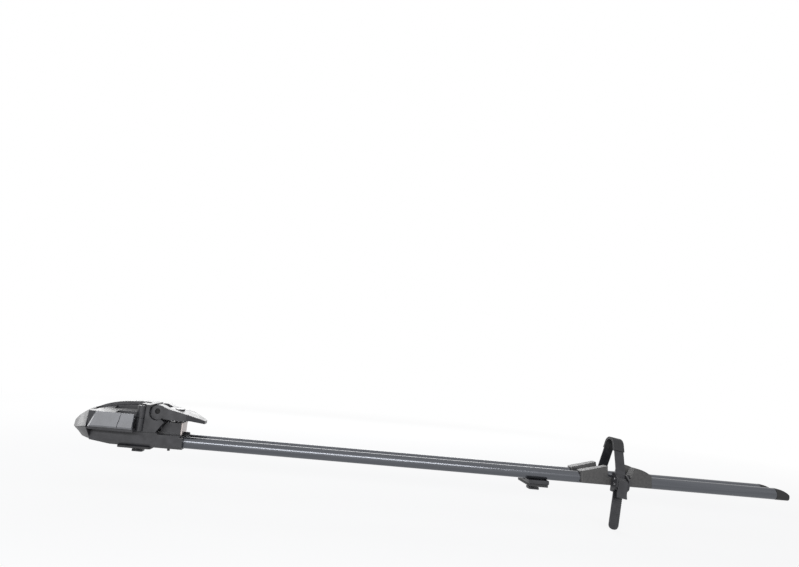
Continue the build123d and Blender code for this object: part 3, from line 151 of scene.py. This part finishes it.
world = bpy.data.worlds.new("studio")
world.use_nodes = True
scene.world = world
tree = world.node_tree
tree.nodes.clear()
room = tree.nodes.new("ShaderNodeBackground")
room.inputs["Color"].default_value = (0.86, 0.9, 1.0, 1)
room.inputs["Strength"].default_value = 0.38
backdrop = tree.nodes.new("ShaderNodeBackground")
backdrop.inputs["Color"].default_value = (1, 1, 1, 1)
mix = tree.nodes.new("ShaderNodeMixShader")
tree.links.new(seen_directly(tree), mix.inputs["Fac"])
tree.links.new(room.outputs[0], mix.inputs[1])
tree.links.new(backdrop.outputs[0], mix.inputs[2])
out = tree.nodes.new("ShaderNodeOutputWorld")
tree.links.new(mix.outputs[0], out.inputs["Surface"])


# %% Lamps
def soft_lamp(name, place, aim, size, watts):
    """A square area lamp at a place, in mm, turned towards a point."""
    data = bpy.data.lights.new(name, "AREA")
    data.shape = "RECTANGLE"
    data.size, data.size_y = size[0] * mm, size[1] * mm
    data.energy = watts
    lamp = bpy.data.objects.new(name, data)
    scene.collection.objects.link(lamp)
    lamp.location = Vector(place) * mm
    lamp.rotation_euler = (Vector(aim) - Vector(place)).to_track_quat("-Z", "Y").to_euler()
    return lamp


lamps = [
    soft_lamp("strip", (100, -1750, 500), (300, 0, 0), (2300, 160), 26),
    soft_lamp("behind", (300, 1700, 560), (400, 0, 0), (2600, 700), 16),
    soft_lamp("far_front", (-1550, 620, 330), (-80, -60, 50), (700, 700), 7),
]
print("lamps", [lamp.name for lamp in lamps])

# %% [markdown]
# The floor is one wide plane just under the lowest point of the carrier, which is the
# strap's tail. Seen by the camera it is mostly plain white, with enough real shading left
# near the carrier for soft shadows to show, and none far away. It throws less light back up
# than white paper would, so that the undersides stay dark.

# %% Floor
floor_drop = 1.0 * mm
floor_half = 30.0
shadow_middle_x = 0.6
shadow_radius, white_radius = 0.9, 2.4
white_share = 0.85
paper_white = 0.96
paper_bounce = 0.55
floor_mesh = bpy.data.meshes.new("floor")
floor_z = cad_low.z - floor_drop
floor_mesh.from_pydata(
    [(-floor_half, -floor_half, floor_z), (floor_half, -floor_half, floor_z),
     (floor_half, floor_half, floor_z), (-floor_half, floor_half, floor_z)],
    [], [(0, 1, 2, 3)])
floor = bpy.data.objects.new("floor", floor_mesh)
scene.collection.objects.link(floor)

paper = bpy.data.materials.new("studio_paper")
paper.use_nodes = True
tree = paper.node_tree
tree.nodes.clear()
matt = tree.nodes.new("ShaderNodeBsdfDiffuse")
paper_grey = tree.nodes.new("ShaderNodeMapRange")
paper_grey.inputs["To Min"].default_value = paper_bounce
paper_grey.inputs["To Max"].default_value = paper_white
tree.links.new(seen_directly(tree), paper_grey.inputs["Value"])
tree.links.new(paper_grey.outputs[0], matt.inputs["Color"])
glow = tree.nodes.new("ShaderNodeEmission")
spot = tree.nodes.new("ShaderNodeTexCoord")
distance = tree.nodes.new("ShaderNodeVectorMath")
distance.operation = "DISTANCE"
distance.inputs[1].default_value = (shadow_middle_x, 0, floor_z)
tree.links.new(spot.outputs["Object"], distance.inputs[0])
fade = tree.nodes.new("ShaderNodeMapRange")
fade.inputs["From Min"].default_value = shadow_radius
fade.inputs["From Max"].default_value = white_radius
fade.inputs["To Min"].default_value = white_share
fade.inputs["To Max"].default_value = 1.0
tree.links.new(distance.outputs["Value"], fade.inputs["Value"])
share = tree.nodes.new("ShaderNodeMath")
share.operation = "MULTIPLY"
tree.links.new(seen_directly(tree), share.inputs[0])
tree.links.new(fade.outputs[0], share.inputs[1])
mix = tree.nodes.new("ShaderNodeMixShader")
tree.links.new(share.outputs[0], mix.inputs["Fac"])
tree.links.new(matt.outputs[0], mix.inputs[1])
tree.links.new(glow.outputs[0], mix.inputs[2])
out = tree.nodes.new("ShaderNodeOutputMaterial")
tree.links.new(mix.outputs[0], out.inputs["Surface"])
floor_mesh.materials.append(paper)
print("floor at", round(floor_z / mm, 1), "mm")

# %% [markdown]
# ## Finishes
#
# Every finish is a small graph of nodes around one Principled shader. Three things make a
# plain colour look like a real surface: the colour drifts a little over a few centimetres,
# the gloss drifts too, and a fine grain tilts the light. The helpers below build those
# three parts. Noise is read in the piece's own coordinates in metres, so a scale of 1000
# gives a grain of about a millimetre.


# %% Finish helper
def noise(tree, scale, detail=2.0, stretch=(1, 1, 1)):
    """A noise value over the piece, in its own coordinates, stretched per axis."""
    place = tree.nodes.new("ShaderNodeTexCoord")
    mapping = tree.nodes.new("ShaderNodeMapping")
    mapping.inputs["Scale"].default_value = stretch
    texture = tree.nodes.new("ShaderNodeTexNoise")
    texture.inputs["Scale"].default_value = scale
    texture.inputs["Detail"].default_value = detail
    tree.links.new(place.outputs["Object"], mapping.inputs["Vector"])
    tree.links.new(mapping.outputs[0], texture.inputs["Vector"])
    return texture.outputs["Fac"]


def ranged(tree, value, low, high):
    """A value from 0.3 to 0.7, the middle of a noise, spread between two numbers."""
    spread = tree.nodes.new("ShaderNodeMapRange")
    spread.inputs["From Min"].default_value = 0.3
    spread.inputs["From Max"].default_value = 0.7
    spread.inputs["To Min"].default_value = low
    spread.inputs["To Max"].default_value = high
    tree.links.new(value, spread.inputs["Value"])
    return spread.outputs[0]


def two_colours(tree, value, first, second):
    """One colour where the value is low, another where it is high."""
    ramp = tree.nodes.new("ShaderNodeValToRGB")
    ramp.color_ramp.elements[0].position = 0.35
    ramp.color_ramp.elements[1].position = 0.65
    ramp.color_ramp.elements[0].color = (*first, 1)
    ramp.color_ramp.elements[1].color = (*second, 1)
    tree.links.new(value, ramp.inputs["Fac"])
    return ramp.outputs["Color"]


def finish(name, colours, gloss, drift, grain, depth, stretch=(1, 1, 1), metal=0.0):
    """A Principled finish whose colour, roughness and grain vary over the surface.

    colours and gloss are the two ends between which they vary, drift and grain are the scales
    of the slow and the fine noise, and depth is the grain's depth in mm.
    """
    material = bpy.data.materials.new(name)
    material.use_nodes = True
    tree = material.node_tree
    shader = tree.nodes["Principled BSDF"]
    shader.inputs["Metallic"].default_value = metal
    slow = noise(tree, drift, 3.0, stretch)
    tree.links.new(two_colours(tree, slow, *colours), shader.inputs["Base Color"])
    tree.links.new(ranged(tree, slow, *gloss), shader.inputs["Roughness"])
    bump = tree.nodes.new("ShaderNodeBump")
    bump.inputs["Strength"].default_value = 0.5
    bump.inputs["Distance"].default_value = depth * mm
    tree.links.new(noise(tree, grain, 2.0, stretch), bump.inputs["Height"])
    tree.links.new(bump.outputs["Normal"], shader.inputs["Normal"])
    return material


# %% [markdown]
# ### Moulded plastics
#
# The head is glass filled nylon: nearly black, with the fine dull grain that a spark eroded
# mould leaves, and a soft sheen. The side panels are the same plastic from a finer mould,
# a shade paler. The strap is a softer, smoother plastic. The cradle's nylon is paler and
# duller, and two blacker finishes serve the rails' end caps and the eye in the lever's hole.

# %% Plastics
materials = {
    "moulded_black": finish("moulded_nylon", ((0.020, 0.020, 0.023), (0.032, 0.032, 0.036)),
                            (0.30, 0.42), 60, 1400, 0.07),
    "panel_black": finish("satin_panel", ((0.145, 0.147, 0.157), (0.190, 0.193, 0.205)),
                          (0.34, 0.46), 60, 2200, 0.06),
    "strap_plastic": finish("strap_plastic", ((0.016, 0.016, 0.019), (0.026, 0.026, 0.030)),
                            (0.34, 0.48), 90, 1200, 0.05),
    "cradle_nylon": finish("cradle_nylon", ((0.048, 0.047, 0.047), (0.070, 0.068, 0.066)),
                           (0.38, 0.52), 240, 1200, 0.05),
    "cap_black": finish("cap_black", ((0.006, 0.006, 0.006), (0.011, 0.011, 0.012)),
                        (0.55, 0.70), 150, 1200, 0.05),
    "deep_black": finish("deep_black", ((0.004, 0.004, 0.004), (0.007, 0.007, 0.008)),
                         (0.75, 0.90), 120, 1800, 0.05),
    "soft_rubber": finish("soft_rubber", ((0.014, 0.014, 0.015), (0.024, 0.024, 0.026)),
                          (0.58, 0.75), 120, 1800, 0.10),
}
print("plastics", sorted(materials))

# %% [markdown]
# ### Metals
#
# The rails are extruded and then dyed blue grey in the anodising bath. Fine lines run along
# them, so their noise is stretched fifty times along X. Plated screws are paler and have no
# direction, and pressed plate keeps the rolling marks across it.

# %% Metals
along_rail = (0.02, 1, 1)
materials.update({
    "anodised_rail": finish("anodised_rail", ((0.100, 0.105, 0.117), (0.120, 0.126, 0.139)),
                            (0.20, 0.27), 300, 1600, 0.008, along_rail, 0.75),
    "plated_steel": finish("plated_steel", ((0.42, 0.43, 0.45), (0.56, 0.56, 0.57)),
                           (0.22, 0.36), 150, 1500, 0.03, metal=1.0),
    "bright_plate": finish("bright_plate", ((0.34, 0.31, 0.30), (0.44, 0.40, 0.39)),
                           (0.34, 0.46), 150, 1500, 0.03, (1, 0.05, 1), 1.0),
    "mill_aluminium": finish("mill_aluminium", ((0.55, 0.56, 0.58), (0.66, 0.67, 0.69)),
                             (0.30, 0.42), 200, 1500, 0.04, along_rail, 1.0),
    "dark_fastener": finish("dark_fastener", ((0.030, 0.030, 0.032), (0.050, 0.050, 0.053)),
                            (0.40, 0.55), 150, 1500, 0.03, metal=0.8),
    "cast_zinc": finish("cast_zinc", ((0.28, 0.28, 0.29), (0.38, 0.38, 0.39)),
                        (0.42, 0.58), 120, 1100, 0.12, metal=0.9),
})
print("metals", sorted(materials))

# %% [markdown]
# ## Softened pieces
#
# A CAD edge is a perfect corner, and no real edge is. Even a sharp moulding has a radius of
# a few tenths of a millimetre, and that thin band is what catches the light. Each CAD
# node is copied here, its facets are joined back into whole faces, and a bevel rounds the
# sharp edges. The copy then stands for the node and rides on the same body. The record
# says which finish each node has. A few pieces look unlike the rest of their finish, and the
# table below says what they are shown in instead.

# %% Softening helper
finish_of = {part["node"]: part["material_slot"] for part in frame["record"]["subparts"]}
shown_as = {
    "front_t_bolt": "dark_fastener", "rear_t_bolt": "dark_fastener",
    "rail_bolts": "dark_fastener", "clamp_screw": "dark_fastener",
    "rear_nut": "dark_fastener", "rear_washer": "dark_fastener",
    "swivel_eye": "deep_black", "cradle_body": "cradle_nylon",
    "end_cap_left": "cap_black", "end_cap_right": "cap_black",
}
join_distance = 0.002 * mm
flat_angle = radians(0.6)
bevel_steps = 2
solid_corner = 38


def whole_faces(node, name):
    """A new mesh with the node's shape, its triangles joined into whole faces."""
    work = bmesh.new()
    work.from_mesh(frame["nodes"][node].data)
    bmesh.ops.remove_doubles(work, verts=work.verts, dist=join_distance)
    bmesh.ops.dissolve_limit(work, angle_limit=flat_angle, verts=work.verts, edges=work.edges)
    mesh = bpy.data.meshes.new(name)
    work.to_mesh(mesh)
    work.free()
    if "custom_normal" in mesh.attributes:
        mesh.attributes.remove(mesh.attributes["custom_normal"])
    mesh.materials.clear()
    return mesh


def rounded(node, mesh, width, corner):
    """An object in the node's finish, its edges past the corner angle rounded by a width."""
    mesh.materials.append(materials[shown_as.get(node, finish_of[node])])
    mesh.shade_smooth()
    mesh.set_sharp_from_angle(angle=radians(corner))
    piece = bpy.data.objects.new(mesh.name, mesh)
    scene.collection.objects.link(piece)
    bevel = piece.modifiers.new("soft_edges", "BEVEL")
    bevel.width = width * mm
    bevel.segments = bevel_steps
    bevel.limit_method = "ANGLE"
    bevel.angle_limit = radians(corner)
    bevel.harden_normals = True
    return piece


def soften(node, width):
    """A softened piece that stands for a node and rides on its body."""
    source = frame["nodes"][node]
    piece = rounded(node, whole_faces(node, node + "_soft"), width, solid_corner)
    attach(piece, source["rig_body"])
    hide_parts(node)
    return piece


def own_piece(node, places, faces, width, corner):
    """Make a piece from its corners and faces, and let it stand for a node."""
    mesh = bpy.data.meshes.new(node + "_shape")
    mesh.from_pydata(places, [], faces)
    work = bmesh.new()
    work.from_mesh(mesh)
    bmesh.ops.recalc_face_normals(work, faces=work.faces)
    work.to_mesh(mesh)
    work.free()
    piece = rounded(node, mesh, width, corner)
    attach(piece, frame["nodes"][node]["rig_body"])
    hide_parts(node)


# %% Soften every piece
edge_radius = {
    "head_shell": 1.0, "head_base": 0.8, "clamp_tower": 0.7,
    "side_panel_left": 0.7, "side_panel_right": 0.7, "cam_lever": 0.9,
    "fork_post_left": 0.2, "fork_post_right": 0.2, "latch_block": 0.5,
    "cradle_body": 1.0, "buckle_frame": 0.6, "thumb_lever": 0.5, "release_pawl": 0.4,
    "ratchet_strap": 0.2, "rim_sleeve": 0.4, "front_pad": 0.8, "rear_pad": 0.6,
    "end_cap_left": 0.8, "end_cap_right": 0.8,
}
plain_edge = 0.25
own_pieces = {"nose_cap", "rail_left", "rail_right"}
softened = {}
for node in sorted(set(frame["nodes"]) - own_pieces):
    softened[node] = soften(node, edge_radius.get(node, plain_edge))
print("softened", len(softened), "pieces")

# %% [markdown]
# The front corner of each side panel is cut back to one slanting face, which catches the
# light as a pale band.

# %% Leading bevel of the side panels
bevel_x, bevel_y, bevel_z = -67.5, 71, 64.5
lean_x, lean_y, lean_z = -0.68, 0.68, 0.272


def trim(mesh, point, normal):
    """Cut the mesh's side that a normal points to, and close the cut."""
    work = bmesh.new()
    work.from_mesh(mesh)
    cut = bmesh.ops.bisect_plane(work, geom=work.verts[:] + work.edges[:] + work.faces[:],
                                 plane_co=Vector(point) * mm, plane_no=normal,
                                 clear_outer=True)
    rim = [part for part in cut["geom_cut"] if isinstance(part, bmesh.types.BMEdge)]
    bmesh.ops.holes_fill(work, edges=rim)
    bmesh.ops.recalc_face_normals(work, faces=work.faces)
    work.to_mesh(mesh)
    work.free()


for hand, hand_name in ((-1, "left"), (1, "right")):
    panel = softened["side_panel_" + hand_name].data
    before = len(panel.polygons)
    trim(panel, (bevel_x, hand * bevel_y, bevel_z), (lean_x, hand * lean_y, lean_z))
    print(hand_name, "panel had", before, "faces, now", len(panel.polygons))

# %% [markdown]
# ## The rails
#
# A rail is one long extrusion, so its whole shape is the outline of its end. A true oval
# catches one thin line of light along its shoulder, which a rounded rectangle can't do. The
# outline runs round the oval and into the groove on the rail's inner side, where the slide
# plates run, and two rings of it, one at each end, make the tube.

# %% Rails
oval_steps = 72
oval_power = 2.15
groove_low, groove_high, groove_depth = 2.9, 7.1, 4.6
rail_corner = 30


def rail_outline(low, high, inner):
    """Points of the rail's outline as (y, z) in metres. inner is +1 or -1, towards Y = 0."""
    half_width, half_height = (high.y - low.y) / 2, (high.z - low.z) / 2
    middle = Vector(((high.y + low.y) / 2, (high.z + low.z) / 2))
    first = asin((low.z + groove_high * mm - middle.y) / half_height)
    last = asin((low.z + groove_low * mm - middle.y) / half_height) + 2 * pi
    points = []
    for step in range(oval_steps + 1):
        angle = first + (last - first) * step / oval_steps
        across, up = (copysign(abs(v) ** (2 / oval_power), v) for v in (cos(angle), sin(angle)))
        points.append((middle.x + inner * half_width * across, middle.y + half_height * up))
    floor_y = middle.x + inner * (half_width - groove_depth * mm)
    return points + [(floor_y, points[-1][1]), (floor_y, points[0][1])]


def oval_rail(hand_name, inner):
    """Make an oval rail that stands for the CAD rail of one side."""
    node = "rail_" + hand_name
    low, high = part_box(node)
    outline = rail_outline(low, high, inner)
    count = len(outline)
    places = [(x, y, z) for x in (low.x, high.x) for y, z in outline]
    faces = [(i, (i + 1) % count, count + (i + 1) % count, count + i) for i in range(count)]
    faces += [tuple(reversed(range(count))), tuple(range(count, 2 * count))]
    own_piece(node, places, faces, plain_edge, rail_corner)


for hand_name, inner in (("left", 1), ("right", -1)):
    oval_rail(hand_name, inner)

# %% [markdown]
# ## The nose cap
#
# The nose is a blunt wedge with flat facets and one sharp crease that runs back from its
# tip. Below the crease it falls away to the belly, above it leans in to the shoulder and
# then over to the crown. Each row of the table is one slice: how far along it is, its half
# width at the crease, and the heights of its belly, crease, shoulder and crown. This nose
# was shaped after the reference picture. It is fuller at the top than the CAD nose that it
# stands for, by up to 8 mm, so the two aren't the same shape.

# %% Nose cap
nose_slices = (
    (-124.0, 11.5, 24.8, 28.5, 38.5, 42.0),
    (-119.0, 20.0, 22.5, 29.0, 43.0, 47.3),
    (-112.0, 33.0, 19.5, 30.0, 47.8, 52.5),
    (-102.0, 47.5, 12.5, 31.7, 53.8, 59.4),
    (-92.0, 57.0, 11.0, 33.6, 59.0, 64.8),
    (-82.0, 64.0, 10.0, 35.4, 63.6, 68.4),
)
belly_shares = (0.42, 0.42, 0.42, 0.42, 0.46, 0.52)
shoulder_shares = (0.78, 0.78, 0.79, 0.82, 0.87, 0.93)
crown_share = 0.24
nose_edge = 1.2
nose_corner = 16

places, faces = [], []
for nose_slice, belly_share, shoulder_share in zip(nose_slices, belly_shares, shoulder_shares):
    x, half_width, belly_z, crease_z, shoulder_z, crown_z = nose_slice
    half = [(half_width * belly_share, belly_z), (half_width, crease_z),
            (half_width * shoulder_share, shoulder_z), (half_width * crown_share, crown_z)]
    ring = half + [(-y, z) for y, z in reversed(half)]
    places += [(x * mm, y * mm, z * mm) for y, z in ring]
count = len(ring)
for row in range(len(nose_slices) - 1):
    for i in range(count):
        a, b = row * count + i, row * count + (i + 1) % count
        faces.append((a, a + count, b + count, b))
faces += [tuple(range(count)), tuple(reversed(range(len(places) - count, len(places))))]
own_piece("nose_cap", places, faces, nose_edge, nose_corner)
print("nose cap", len(faces), "faces")
